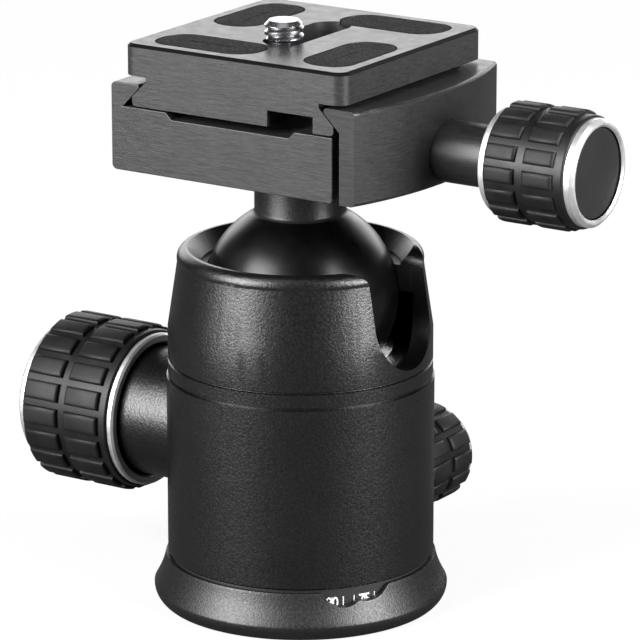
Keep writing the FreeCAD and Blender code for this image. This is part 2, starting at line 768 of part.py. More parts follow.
def jaw_clip():
    """Clip on the clamp screw that draws the jaw open."""
    return aimed(screw_clip_ring(clip_r, jaw_screw_r - thread_gap + 0.01, clip_t),
                 V(clip_x, 0, jaw_axis_z), X)


# Quick-release plate

def pad_face(grow):
    """One pad's outline along the plate's front side, grown all round by grow."""
    x0 = -plate_half_w + pad_start - grow
    x1 = x0 + pad_len + 2 * grow
    y0 = -plate_half_l + pad_inset - grow
    y1 = y0 + pad_w + 2 * grow
    r0, r1 = pad_corner_r + grow, pad_end_r + grow
    k0, k1 = r0 * (1 - math.sqrt(0.5)), r1 * (1 - math.sqrt(0.5))
    points = [V(x0 + r0, y0, 0), V(x1 - r1, y0, 0), V(x1, y0 + r1, 0), V(x1, y1 - r1, 0),
              V(x1 - r1, y1, 0), V(x0 + r1, y1, 0), V(x0, y1 - r1, 0), V(x0, y0 + r0, 0)]
    bends = [V(x1 - k1, y0 + k1, 0), V(x1 - k1, y1 - k1, 0), V(x0 + k1, y1 - k1, 0),
             V(x0 + k0, y0 + k0, 0)]
    edges = []
    for i in range(4):
        a, b, c = points[2 * i], points[2 * i + 1], points[(2 * i + 2) % 8]
        if a.distanceToPoint(b) > 1e-6:
            edges.append(Part.LineSegment(a, b).toShape())
        edges.append(Part.Arc(b, bends[i], c).toShape())
    return Part.Face(Part.Wire(edges))


def pads(grow, low, high):
    """The four pads, each turned a quarter from the one before."""
    solids = []
    for i in range(4):
        pad = pad_face(grow).extrude(V(0, 0, high - low))
        pad.translate(V(0, 0, low))
        pad.rotate(V(0, 0, 0), Z, 90 * i)
        pad.translate(V(plate_x, plate_y, 0))
        solids.append(pad)
    return solids


def quick_release_plate():
    low, high = plate_y - plate_half_l, plate_y + plate_half_l
    block = box(plate_x - plate_half_w, plate_x + plate_half_w, low, high, plate_waist_z, plate_top_z)
    corners = [e for e in block.Edges if abs(e.Vertexes[0].Z - e.Vertexes[-1].Z) > 1]
    block = block.makeFillet(plate_corner_r, corners)
    top = [e for e in block.Edges if min(v.Z for v in e.Vertexes) > plate_top_z - 0.01]
    block = block.makeChamfer(plate_edge, top)
    waist, tail = waist_half_w, dovetail_half_w
    tail_z = dovetail_top_z - (tail - waist)
    r = foot_round
    bend = r * (1 - math.sqrt(0.5))
    face = outline((-tail + r, plate_bottom_z), (tail - r, plate_bottom_z),
                   ((tail - bend, plate_bottom_z + bend), (tail, plate_bottom_z + r)), (tail, tail_z),
                   (waist, dovetail_top_z), (waist, plate_waist_z + 1), (-waist, plate_waist_z + 1),
                   (-waist, dovetail_top_z), (-tail, tail_z), (-tail, plate_bottom_z + r),
                   ((-tail + bend, plate_bottom_z + bend), (-tail + r, plate_bottom_z)))
    foot = face.extrude(V(0, 2 * plate_half_l, 0))
    foot.translate(V(plate_x, low, 0))
    cuts = [box(plate_x + channel_left, plate_x + channel_right, low - 1, channel_back_y,
                plate_bottom_z - 1, plate_bottom_z + channel_depth),
            box(plate_x - pocket_half_w, plate_x + pocket_half_w, slot_low_y - pocket_margin,
                slot_high_y + pocket_margin, plate_bottom_z - 1, pocket_top_z),
            box(plate_x - slot_half_w, plate_x + slot_half_w, slot_low_y, slot_high_y,
                plate_bottom_z, plate_top_z + 1)]
    for y in (slot_low_y, slot_high_y):
        cuts.append(rod(slot_half_w, V(plate_x, y, plate_bottom_z), Z, plate_top_z))
    cuts += pads(pad_gap, plate_top_z - pad_depth, plate_top_z + 1)
    return joined([block, foot]).cut(cuts)


def plate_pads():
    return Part.makeCompound(pads(0.0, plate_top_z - pad_depth, plate_top_z + pad_proud))


# Camera screw

def camera_screw():
    r, neck = camera_screw_r, camera_neck_r
    head_top = camera_head_bottom_z + camera_head_h
    thread_z = plate_top_z + pad_proud
    tip = camera_screw_tip
    screw = spin(outline((0, camera_head_bottom_z), (camera_head_r - 0.3, camera_head_bottom_z),
                         (camera_head_r, camera_head_bottom_z + 0.3), (camera_head_r, head_top),
                         (neck, head_top), (neck, thread_z), (r, thread_z),
                         (r, camera_screw_top_z - tip), (r - tip, camera_screw_top_z),
                         (0, camera_screw_top_z)))
    slot = box(-camera_head_r - 1, camera_head_r + 1, -coin_slot_w / 2, coin_slot_w / 2,
               camera_head_bottom_z - 1, camera_head_bottom_z + coin_slot_depth)
    screw = screw.cut(slot)
    screw.translate(V(plate_x, slot_low_y, 0))
    return screw


def screw_clip():
    """Clip over the head that keeps the camera screw in the plate."""
    low = camera_head_bottom_z + camera_head_h + screw_clip_gap
    return aimed(screw_clip_ring(screw_clip_r, camera_neck_r + running_gap, screw_clip_t),
                 V(plate_x, slot_low_y, low), Z)


def all_pieces():
    nodes = {make.__name__: make() for make in (
        pan_base, pan_spindle, base_screws, thrust_washer, spindle_retainer, degree_ring, ring_screws,
        pan_collar, collar_set_screws, track_screws, housing, seat_ring, wedge_track, wedge_block,
        ball_cup, ball_liner, ball_stem, pan_brake_shoe, clamp_base, clamp_mount_screw, mount_washer,
        guide_pins, clamp_jaw, jaw_clip, quick_release_plate, plate_pads, camera_screw, screw_clip)}
    nodes.update(knob_pieces("lock", lock_knob, lock_knob_x - wedge_half_l,
                             V(-lock_knob_x, 0, lock_axis_z), -X))
    nodes.update(knob_pieces("pan", pan_knob, pan_knob_y - shoe_back_y,
                             V(0, pan_knob_y, pan_axis_z), Y))
    nodes.update(knob_pieces("clamp", clamp_knob, jaw_boss_end_x - jaw_screw_tip_x,
                             V(jaw_boss_end_x, 0, jaw_axis_z), X))
    return nodes


os.makedirs("parts", exist_ok=True)
for name, shape in all_pieces().items():
    shape.exportStep("parts/" + name + ".step")
    solids = shape.Solids
    state = "valid" if shape.isValid() and solids else "NOT VALID"
    size = shape.optimalBoundingBox()
    print("%-20s %2d solids %9.2f mm3  x %.1f..%.1f  y %.1f..%.1f  z %.1f..%.1f  %s" % (
        name, len(solids), shape.Volume, size.XMin, size.XMax, size.YMin, size.YMax,
        size.ZMin, size.ZMax, state))
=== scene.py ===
# %% [markdown]
# A tripod ball head holds a camera at any angle. It is a black housing on a turning base, a ball
# with a short neck, a screw clamp, a sliding plate and three rubber-clad knobs.
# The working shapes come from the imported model, which is loaded here as a fixed frame.
# This script gives each of those shapes its finish, and replaces the ones whose real look
# needs more than a plain solid: knob grips, threads, rubber pads and printed numbers.

# %% Load the frame
import json
import math

import bmesh
import bpy
from mathutils import Matrix, Vector, noise


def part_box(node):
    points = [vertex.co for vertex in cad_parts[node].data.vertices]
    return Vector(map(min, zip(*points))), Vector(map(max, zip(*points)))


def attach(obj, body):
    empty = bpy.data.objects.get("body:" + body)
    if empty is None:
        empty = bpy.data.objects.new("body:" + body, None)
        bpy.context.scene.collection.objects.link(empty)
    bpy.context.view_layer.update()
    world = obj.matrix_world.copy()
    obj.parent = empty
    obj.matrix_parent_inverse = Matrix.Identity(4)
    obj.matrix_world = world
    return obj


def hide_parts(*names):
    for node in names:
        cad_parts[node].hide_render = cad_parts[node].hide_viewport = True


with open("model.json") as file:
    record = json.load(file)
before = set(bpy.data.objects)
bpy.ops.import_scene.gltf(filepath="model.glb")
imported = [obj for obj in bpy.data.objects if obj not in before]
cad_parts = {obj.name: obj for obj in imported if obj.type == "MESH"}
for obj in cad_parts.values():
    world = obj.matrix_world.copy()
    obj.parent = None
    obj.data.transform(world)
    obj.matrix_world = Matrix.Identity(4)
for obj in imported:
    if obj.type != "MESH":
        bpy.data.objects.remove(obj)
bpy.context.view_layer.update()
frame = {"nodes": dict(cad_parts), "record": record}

MM = 0.001

# %% [markdown]
# The camera comes first, because every later choice is judged through it. The photograph was
# solved from circles and edges of the real object, so the camera is written as that solution:
# a long lens about 0.7 m away, a quarter metre above the table, looking 16 degrees down.

# %% Camera
CAMERA_AZIMUTH = 33.388          # degrees round from the front towards +X
CAMERA_DISTANCE = 697.06 * MM    # level distance from the pan axis
CAMERA_HEIGHT = 248.11 * MM
CAMERA_PITCH = 16.080            # degrees below level
CAMERA_YAW = 0.262               # the pan axis stands a hair left of the picture's middle
CAMERA_LENS = 249.46             # millimetres, on a sensor 36 mm wide

camera_data = bpy.data.cameras.new("photo_camera")
camera_data.lens = CAMERA_LENS
camera_data.sensor_width = 36.0
camera_data.clip_end = 20.0
camera = bpy.data.objects.new("photo_camera", camera_data)
bpy.context.scene.collection.objects.link(camera)
around = math.radians(CAMERA_AZIMUTH)
heading = around - math.radians(CAMERA_YAW)
down = math.radians(CAMERA_PITCH)
forward = Vector((-math.sin(heading) * math.cos(down), math.cos(heading) * math.cos(down), -math.sin(down)))
right = Vector((math.cos(heading), math.sin(heading), 0.0))
above = right.cross(forward)
camera.matrix_world = Matrix((
    (right.x, above.x, -forward.x, CAMERA_DISTANCE * math.sin(around)),
    (right.y, above.y, -forward.y, -CAMERA_DISTANCE * math.cos(around)),
    (right.z, above.z, -forward.z, CAMERA_HEIGHT),
    (0.0, 0.0, 0.0, 1.0)))
bpy.context.scene.camera = camera
bpy.context.scene.view_settings.view_transform = "Standard"
print("camera at", tuple(round(v, 3) for v in camera.matrix_world.translation))

# %% [markdown]
# Finishes are node materials. Wiring nodes one by one hides what a finish does, so a small class
# wraps a socket and lets plain arithmetic add the maths nodes. A finish then reads as a formula:
# grain times strength, plus lines.

# %% A socket that can be used in an expression
class Wire:
    """An output socket of a finish, ready for arithmetic with numbers and other wires."""

    def __init__(self, finish, socket):
        self.finish = finish
        self.socket = socket

    def __add__(self, other):
        return self.finish.maths("ADD", self, other)

    def __sub__(self, other):
        return self.finish.maths("SUBTRACT", self, other)

    def __rsub__(self, other):
        return self.finish.maths("SUBTRACT", other, self)

    def __mul__(self, other):
        return self.finish.maths("MULTIPLY", self, other)

    __radd__ = __add__
    __rmul__ = __mul__


class Finish:
    """One procedural material around a Principled shader."""

    def __init__(self, name, colour, roughness, metallic=0.0, **plain):
        self.colour, self.roughness = colour, roughness
        self.material = bpy.data.materials.new(name)
        self.material.use_nodes = True
        self.tree = self.material.node_tree
        self.shader = self.tree.nodes["Principled BSDF"]
        self.shader.inputs["Base Color"].default_value = (*colour, 1.0)
        self.shader.inputs["Roughness"].default_value = roughness
        self.shader.inputs["Metallic"].default_value = metallic
        for socket, value in plain.items():
            self.shader.inputs[socket.replace("_", " ")].default_value = value
        self.place = self.node("ShaderNodeTexCoord", out="Object")

    def node(self, kind, settings=None, inputs=None, out=0):
        """Adds a node: settings first, then the values or links of its sockets."""
        node = self.tree.nodes.new(kind)
        for name, value in (settings or {}).items():
            setattr(node, name, value)
        for name, value in (inputs or {}).items():
            if isinstance(value, Wire):
                self.tree.links.new(value.socket, node.inputs[name])
            else:
                node.inputs[name].default_value = value
        return Wire(self, node.outputs[out])

    def maths(self, operation, *values):
        return self.node("ShaderNodeMath", {"operation": operation}, dict(enumerate(values)))

    def noise(self, size, detail=2.0, rough=0.5, stretch=(1.0, 1.0, 1.0)):
        """Soft noise whose features are size metres wide, longer along an axis by its stretch."""
        scale = tuple(1.0 / (size * s) for s in stretch)
        where = self.node("ShaderNodeMapping", {}, {"Vector": self.place, "Scale": scale})
        return self.node("ShaderNodeTexNoise", {},
                         {"Vector": where, "Scale": 1.0, "Detail": detail, "Roughness": rough})

    def cells(self, size):
        """Distance to the middle of the nearest random cell."""
        return self.node("ShaderNodeTexVoronoi", {}, {"Vector": self.place, "Scale": 1.0 / size})

    def spread(self, value, low, high, to_low=0.0, to_high=1.0):
        """Stretches the range low to high of a value, clamped."""
        return self.node("ShaderNodeMapRange", {}, {"Value": value, "From Min": low, "From Max": high,
                                                    "To Min": to_low, "To Max": to_high})

    def blend(self, factor, first, second):
        """Colour between first and second, which are colours or wires."""
        pair = [c if isinstance(c, Wire) else (*c, 1.0) for c in (first, second)]
        return self.node("ShaderNodeMix", {"data_type": "RGBA"}, {0: factor, 6: pair[0], 7: pair[1]}, out=2)

    def feed(self, socket, value):
        self.tree.links.new(value.socket, self.shader.inputs[socket])

    def shade(self, value, low, high, dark, light):
        """Base colour from dark to light times the finish's own, as the value goes from low to high."""
        first, second = (tuple(c * times for c in self.colour) for times in (dark, light))
        self.feed("Base Color", self.blend(self.spread(value, low, high), first, second))

    def polish(self, value, low, high, less, more):
        """Roughness from less below to more above the finish's own, over the same kind of range."""
        self.feed("Roughness", self.spread(value, low, high, self.roughness - less, self.roughness + more))

    def relief(self, height, depth):
        """Bump of the given depth in metres."""
        self.feed("Normal", self.node("ShaderNodeBump", {}, {"Height": height, "Distance": depth}))


print("finish helper ready")

# %% [markdown]
# The housing and the base are bead-blasted and anodised black. Blasting leaves a field of tiny
# dents under half a millimetre across, which break a highlight into sparkle. Two noises do it:
# a fine one for the dents and a broad, faint one for the uneven tone of the dye.

# %% Black blasted aluminium
def blasted(name, colour, roughness, grain=0.42 * MM, depth=0.05 * MM, shine=0.55):
    finish = Finish(name, colour, roughness, 0.0, Specular_IOR_Level=shine)
    dents = finish.noise(grain, 3.0, 0.6)
    cloud = finish.noise(9.0 * MM, 2.0)
    finish.shade(cloud + dents * 0.5, 0.55, 0.95, 0.72, 1.35)
    finish.polish(dents, 0.3, 0.7, 0.05, 0.08)
    finish.relief(dents, depth)
    return finish.material


black_blasted = blasted("black_blasted", (0.002, 0.002, 0.0021), 0.32)
foot_black = blasted("foot_black", (0.003, 0.003, 0.003), 0.42)
scale_black = blasted("scale_black", (0.008, 0.008, 0.009), 0.5, 0.2 * MM, 0.008 * MM)
print("made", black_blasted.name, foot_black.name, scale_black.name)

# %% [markdown]
# The plate and the clamp are dark grey anodised metal whose upright faces were brushed level.
# Brushing is noise that changes quickly upwards and hardly along the face, so one stretched noise
# draws lines on every upright face and leaves the top plain. The thin black line along the plate's
# slanting top edge is painted shade: those faces get a near-black finish with almost no shine.

# %% Brushed gunmetal
def brushed(name, colour, roughness, metallic, line_depth):
    finish = Finish(name, colour, roughness, metallic)
    lines = finish.noise(0.14 * MM, 3.0, 0.6, (16.0, 16.0, 1.0))
    grain = finish.noise(0.20 * MM, 2.0, 0.6)
    cloud = finish.noise(14.0 * MM, 2.0)
    finish.shade(lines * 0.6 + grain * 0.3 + cloud * 0.12, 0.38, 0.64, 0.65, 1.35)
    finish.polish(lines + grain, 0.7, 1.3, 0.06, 0.09)
    finish.relief(lines + grain * 0.5, line_depth)
    return finish.material


gunmetal = brushed("brushed_gunmetal", (0.034, 0.034, 0.0355), 0.38, 0.4, 0.016 * MM)
jaw_grey = brushed("jaw_grey", (0.020, 0.020, 0.021), 0.36, 0.3, 0.012 * MM)
# painted shade: a near-black, nearly unshining finish that draws the plate's top edge as a dark line
painted_shade_edge = blasted("painted_shade_edge", (0.002, 0.002, 0.002), 0.45, 0.2 * MM, 0.01 * MM, 0.12)
print("made", gunmetal.name, jaw_grey.name, painted_shade_edge.name)

# %% [markdown]
# The ball is turned, polished and hard anodised: nearly black, smooth, with a soft broad shine.
# The neck above it is plain grey with a fine grain, and shows one bright stripe in the light.

# %% Ball and neck
def ball_finish():
    finish = Finish("ball_black", (0.001, 0.001, 0.001), 0.30, Specular_IOR_Level=0.3)
    film = finish.noise(5.0 * MM, 3.0)
    grain = finish.noise(0.12 * MM, 2.0)
    finish.shade(film + grain * 0.4, 0.5, 0.9, 1.0, 2.0)
    finish.polish(film, 0.3, 0.7, 0.03, 0.06)
    finish.relief(grain, 0.002 * MM)
    return finish.material


def neck_finish():
    darker = (0.014, 0.014, 0.0145)
    finish = Finish("neck_grey", (0.034, 0.034, 0.035), 0.36, 0.5)
    grain = finish.noise(0.30 * MM, 3.0, 0.6)
    turning = finish.noise(0.08 * MM, 1.0, 0.5, (90.0, 90.0, 1.0))
    finish.feed("Base Color", finish.blend(finish.spread(grain, 0.3, 0.7), darker, finish.colour))
    finish.polish(grain + turning, 0.7, 1.3, 0.06, 0.08)
    finish.relief(grain + turning * 0.3, 0.02 * MM)
    return finish.material


ball_black = ball_finish()
neck_grey = neck_finish()
print("made", ball_black.name, neck_grey.name)

# %% [markdown]
# Bright metal shows at the knob rims, which were cut with a diamond after anodising, and on the
# plated camera screw. The rims carry faint turning marks, the screw a few duller specks.

# %% Bright metal and plain steel
def bright(name, colour, roughness, metallic=1.0):
    finish = Finish(name, colour, roughness, metallic)
    marks = finish.noise(0.25 * MM, 3.0, 0.6)
    film = finish.noise(2.5 * MM, 2.0)
    finish.shade(film, 0.3, 0.7, 0.86, 1.0)
    finish.polish(marks + film * 0.5, 0.5, 1.0, roughness * 0.2, roughness * 0.5)
    finish.relief(marks, 0.003 * MM)
    return finish.material


diamond_cut = bright("diamond_cut_rim", (0.62, 0.62, 0.63), 0.38, 0.8)
nickel = bright("nickel_plate", (0.34, 0.34, 0.35), 0.24)
zinc = bright("zinc_plate", (0.52, 0.53, 0.55), 0.34)
machined = bright("machined_aluminium", (0.60, 0.60, 0.62), 0.42)
print("made", diamond_cut.name, nickel.name, zinc.name, machined.name)

# %% [markdown]
# Rubber is matt, but not flat: its skin has a fine orange-peel grain from the mould, and the
# parts that came straight off the polished mould, between the pads, are smoother and shinier.
# The plate's pads are another rubber, open and crumbly, so they get a coarse relief of cells.

# %% Rubber and plastics
def rubber_finish(name, colour, roughness):
    finish = Finish(name, colour, roughness, 0.0, Specular_IOR_Level=0.28)
    peel = finish.noise(0.25 * MM, 3.0, 0.6)
    wear = finish.noise(3.5 * MM, 3.0)
    finish.shade(wear + peel * 0.4, 0.5, 0.9, 0.7, 1.5)
    finish.polish(wear + peel * 0.5, 0.5, 1.0, 0.06, 0.06)
    finish.relief(peel, 0.015 * MM)
    return finish.material


def pad_finish():
    darker = (0.003, 0.003, 0.003)
    finish = Finish("crumb_rubber", (0.026, 0.026, 0.027), 0.85, 0.0, Specular_IOR_Level=0.15)
    crumbs = finish.cells(0.42 * MM)
    dust = finish.noise(0.18 * MM, 3.0, 0.7)
    light = finish.spread(dust + crumbs * 0.5, 0.45, 1.05)
    finish.feed("Base Color", finish.blend(light, darker, finish.colour))
    finish.relief(dust - crumbs * 0.6, 0.16 * MM)
    return finish.material


def plastic_finish(name, colour, roughness):
    finish = Finish(name, colour, roughness)
    grain = finish.noise(0.22 * MM, 3.0, 0.6)
    cloud = finish.noise(4.0 * MM, 2.0)
    finish.shade(cloud + grain * 0.3, 0.4, 0.9, 0.8, 1.25)
    finish.polish(grain, 0.3, 0.7, 0.05, 0.07)
    finish.relief(grain, 0.006 * MM)
    return finish.material


pad_skin = rubber_finish("rubber_pads", (0.005, 0.005, 0.005), 0.54)
sleeve_skin = rubber_finish("rubber_sleeve", (0.006, 0.006, 0.006), 0.44)
pad_rubber = pad_finish()
cap_plastic = plastic_finish("cap_plastic", (0.006, 0.006, 0.0065), 0.50)
seat_plastic = plastic_finish("seat_plastic", (0.006, 0.006, 0.006), 0.45)
white_nylon = plastic_finish("white_nylon", (0.70, 0.69, 0.65), 0.40)
white_ink = plastic_finish("white_ink", (0.68, 0.68, 0.68), 0.55)
print("made", pad_skin.name, sleeve_skin.name, pad_rubber.name)
print("made", cap_plastic.name, seat_plastic.name, white_nylon.name, white_ink.name)

# %% [markdown]
# Turned pieces are best spun from a profile: a list of corners, each with its own small radius,
# because no real edge is sharp and the rounding is what catches the light. The faces of a
# profile can take different finishes, as on a black knob with bright rims.

# %% Meshes from profiles
LATHE_STEPS = 144
CORNER_STEPS = 4
CORNER_SHARE = 0.45          # most of a profile's side that a rounded corner may take
LATHE_SHARP = 40.0           # edges sharper than this stay sharp on a turned piece, in degrees
ON_AXIS = 1e-7               # a smaller radius than this is a single point on the axis


def rounded(corners, steps=CORNER_STEPS):
    """Corners (r, h, radius, slot) become a finer list of (r, h, slot) with round corners."""
    fine = []
    for i, (r, h, radius, slot) in enumerate(corners):
        here = Vector((r, h))
        inner = 0 < i < len(corners) - 1
        if radius <= 0 or not inner:
            fine.append((r, h, slot))
            continue
        before = Vector(corners[i - 1][:2]) - here
        after = Vector(corners[i + 1][:2]) - here
        bend = before.angle(after)
        longest = CORNER_SHARE * min(before.length, after.length)
        reach = min(radius / math.tan(bend / 2), longest)
        start = here + before.normalized() * reach
        end = here + after.normalized() * reach
        for k in range(steps + 1):
            t = k / steps
            point = start.lerp(here, t).lerp(here.lerp(end, t), t)
            fine.append((point.x, point.y, slot))
    return fine


def spun(name, profile, place, axis):
    """Closed surface spun about an axis. A slot on a point names the band that follows it."""
    turn = Vector((0, 0, 1)).rotation_difference(Vector(axis))
    mesh = bmesh.new()
    rings = []
    for r, h, _slot in profile:
        count = 1 if r < ON_AXIS else LATHE_STEPS
        ring = []
        for k in range(count):
            angle = 2 * math.pi * k / LATHE_STEPS
            point = Vector((r * math.cos(angle), r * math.sin(angle), h))
            ring.append(mesh.verts.new(turn @ point + Vector(place)))
        rings.append(ring)
    for (low, high), (_r, _h, slot) in zip(zip(rings, rings[1:] + rings[:1]), profile):
        if len(low) == 1 and len(high) == 1:
            continue
        for k in range(LATHE_STEPS):
            n = (k + 1) % LATHE_STEPS
            corners = [low[k % len(low)], low[n % len(low)], high[n % len(high)], high[k % len(high)]]
            corners = [v for i, v in enumerate(corners) if v not in corners[:i]]
            face = mesh.faces.new(corners)
            face.material_index = slot
            face.smooth = True
    bmesh.ops.recalc_face_normals(mesh, faces=mesh.faces)
    data = bpy.data.meshes.new(name)
    mesh.to_mesh(data)
    mesh.free()
    data.set_sharp_from_angle(angle=math.radians(LATHE_SHARP))
    return shown(name, data)


def shown(name, data):
    piece = bpy.data.objects.new(name, data)
    bpy.context.scene.collection.objects.link(piece)
    return piece


def dress(piece, body, materials, stands_for=()):
    """Gives a finished piece its materials and body, and hides the solids it stands for."""
    for material in materials:
        piece.data.materials.append(material)
    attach(piece, body)
    if stands_for:
        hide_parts(*stands_for)
    print(piece.name, "on", body, len(piece.data.polygons), "faces")

# %% [markdown]
# Most solids already have the right shape, but their edges are knife sharp. A copy of each is
# merged, its flat faces are joined, and its edges get a bevel a fraction of a millimetre wide.
# That keeps the real size and gives every edge the thin line of light that cast and milled
# metal has. Large faces then lead the shading, and on pieces that were turned round the pan axis
# the shading points exactly away from it, so that a long highlight runs straight.

# %% Softened copies of the solids
SHARP_ANGLE = 32.0           # edges sharper than this are bevelled, in degrees
MERGE_GAP = 0.002 * MM       # points closer than this are one point
FLAT_ANGLE = 0.4             # faces that differ by less than this are joined, in degrees
FLATS_LEAD = 80              # how much large faces lead the shading, out of 100
TURNED = ("housing", "pan_base", "degree_ring")
TURNED_REACH = 25 * MM       # faces further from the pan axis belong to the lock boss
TURNED_ANGLE = 6.0           # how far a facet may face past the axis and still count, in degrees
LEVEL_FACE = 0.3             # faces whose normal leans out less than this count as level
EDGE_DEPTH = 0.75 * MM       # how far below the top a slanting face counts as the plate's edge
EDGE_SLANT = (0.2, 0.97)     # how much the normal of such a face points up
BODY_OF = {}
for body_name, members in frame["record"]["behaviour"]["bodies"].items():
    for member in members:
        BODY_OF[member] = body_name


def steadied(data):
    """Make the normals of faces that run round the pan axis point exactly away from it."""
    normals = [Vector(corner.vector) for corner in data.corner_normals]
    for face in data.polygons:
        across, centre = Vector(face.normal[:2]), Vector(face.center[:2])
        if across.length < LEVEL_FACE or not MM < centre.length < TURNED_REACH:
            continue
        side = across.normalized().dot(centre.normalized())
        if abs(side) < math.cos(math.radians(TURNED_ANGLE)):
            continue
        for corner in face.loop_indices:
            spot = data.vertices[data.loops[corner].vertex_index].co
            height = max(-1.0, min(1.0, normals[corner].z))
            away = Vector(spot[:2]).normalized() * math.copysign(math.sqrt(1 - height ** 2), side)
            normals[corner] = Vector((away.x, away.y, height))
    data.normals_split_custom_set(normals)


def softened(node, material, width, name, edge_material=None):
    """A copy of a solid with merged points, smooth curved faces and narrow bevels.

    edge_material, where it is given, goes on the slanting faces round the top and paints shade there."""
    data = frame["nodes"][node].data.copy()
    data.materials.clear()
    mesh = bmesh.new()
    mesh.from_mesh(data)
    bmesh.ops.remove_doubles(mesh, verts=mesh.verts, dist=MERGE_GAP)
    bmesh.ops.dissolve_limit(mesh, angle_limit=math.radians(FLAT_ANGLE), verts=mesh.verts, edges=mesh.edges)
    for face in mesh.faces:
        face.smooth = True
        face.material_index = 0
    mesh.to_mesh(data)
    mesh.free()
    piece = shown(name, data)
    bevel = piece.modifiers.new("edges", "BEVEL")
    bevel.width = width
    bevel.segments = 2
    bevel.limit_method = "ANGLE"
    bevel.angle_limit = math.radians(SHARP_ANGLE)
    bevel.use_clamp_overlap = True
    flats = piece.modifiers.new("flats", "WEIGHTED_NORMAL")
    flats.weight = FLATS_LEAD
    baked = bpy.data.meshes.new_from_object(piece.evaluated_get(bpy.context.evaluated_depsgraph_get()))
    piece.modifiers.clear()
    piece.data = baked
    if node in TURNED:
        steadied(baked)
    materials = [material, edge_material] if edge_material else [material]
    dress(piece, BODY_OF[node], materials, (node,))
    # the slanting faces round the plate's top take the painted shade finish
    if edge_material:
        top = max(vertex.co.z for vertex in piece.data.vertices)
        for face in piece.data.polygons:
            slanting = EDGE_SLANT[0] < face.normal.z < EDGE_SLANT[1]
            face.material_index = 1 if slanting and face.center.z > top - EDGE_DEPTH else 0

# %% [markdown]
# Six solids carry the look of the head. The cast pieces have the widest edge, the plate a slightly
# finer one, and the scale ring the finest, because its edge is seen close to the numbers.

# %% Housing, base, scale ring and clamp
CAST_EDGE = 0.25 * MM
PLATE_EDGE = 0.20 * MM
RING_EDGE = 0.12 * MM

softened("housing", black_blasted, CAST_EDGE, "housing_shell")
softened("pan_base", foot_black, CAST_EDGE, "flared_base")
softened("degree_ring", scale_black, RING_EDGE, "scale_ring")
softened("clamp_base", gunmetal, CAST_EDGE, "fixed_clamp")
softened("clamp_jaw", jaw_grey, CAST_EDGE, "moving_jaw")
softened("quick_release_plate", gunmetal, PLATE_EDGE, "camera_plate", painted_shade_edge)

# %% [markdown]
# Most pieces inside or underneath are seen only when the head is taken apart or turned over.
# Their solids are right as they are and take a finish in their own slot.

# %% Finishes for the solids that stay
PLAIN = {
    zinc: ("pan_spindle", "base_screws", "spindle_retainer", "collar_set_screws", "ring_screws",
           "track_screws", "wedge_track", "wedge_block", "clamp_mount_screw", "mount_washer",
           "guide_pins", "jaw_clip", "screw_clip", "lock_screw", "pan_screw", "clamp_screw"),
    machined: ("pan_collar", "ball_cup"),
    white_nylon: ("thrust_washer", "pan_brake_shoe", "ball_liner"),
    seat_plastic: ("seat_ring",),
}
for material, names in PLAIN.items():
    for node_name in names:
        node = frame["nodes"][node_name]
        node.data.materials.clear()
        node.data.materials.append(material)
print("plain solids dressed:", sum(len(names) for names in PLAIN.values()))

# %% [markdown]
# The ball and its neck are one turned piece. The profile is an arc of the ball, a small fillet
# where the neck starts, and the straight neck.

# %% Ball and neck
BALL_CENTRE_Z = 51.6 * MM
stem_low, stem_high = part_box("ball_stem")
ball_radius = (stem_high.y - stem_low.y) / 2
NECK_RADIUS = 7.5 * MM
NECK_FILLET = 0.4 * MM
NECK_BORE = 3.05 * MM
NECK_BORE_DEPTH = 11.2 * MM
NECK_REST = 0.02 * MM        # keeps the neck's end off the clamp that sits on it
BALL_STEPS = 48
fillet_start = NECK_RADIUS + NECK_FILLET
ball_end = math.asin(fillet_start / ball_radius)
profile = [(0.0, -ball_radius, 0)]
for step in range(1, BALL_STEPS + 1):
    angle = math.pi - (math.pi - ball_end) * step / BALL_STEPS
    profile.append((ball_radius * math.sin(angle), ball_radius * math.cos(angle), 0))
neck_start = ball_radius * math.cos(ball_end)
neck_top = stem_high.z - BALL_CENTRE_Z - NECK_REST
profile[-1] = (profile[-1][0], profile[-1][1], 1)
bore_floor = neck_top - NECK_BORE_DEPTH
profile += [(NECK_RADIUS + NECK_FILLET * 0.25, neck_start + NECK_FILLET * 0.8, 1),
            (NECK_RADIUS, neck_start + NECK_FILLET * 1.6, 1), (NECK_RADIUS, neck_top, 1),
            (NECK_BORE, neck_top, 1), (NECK_BORE, bore_floor, 1), (0.0, bore_floor, 1)]
ball = spun("ball_and_neck", profile, (0, 0, BALL_CENTRE_Z), (0, 0, 1))
dress(ball, "ball", [ball_black, neck_grey], ("ball_stem",))

# %% [markdown]
# A knob is a turned hub with a rubber sleeve pressed over it. The hub is black with a bright rim
# at each end, and a plastic cap closes the outer end. The sleeve has two rows of raised pads.
# The pads repeat, so Geometry Nodes place them: one rounded pad is the input, and the tree
# copies it round the axis once for every pad of a row, and again for the second row.

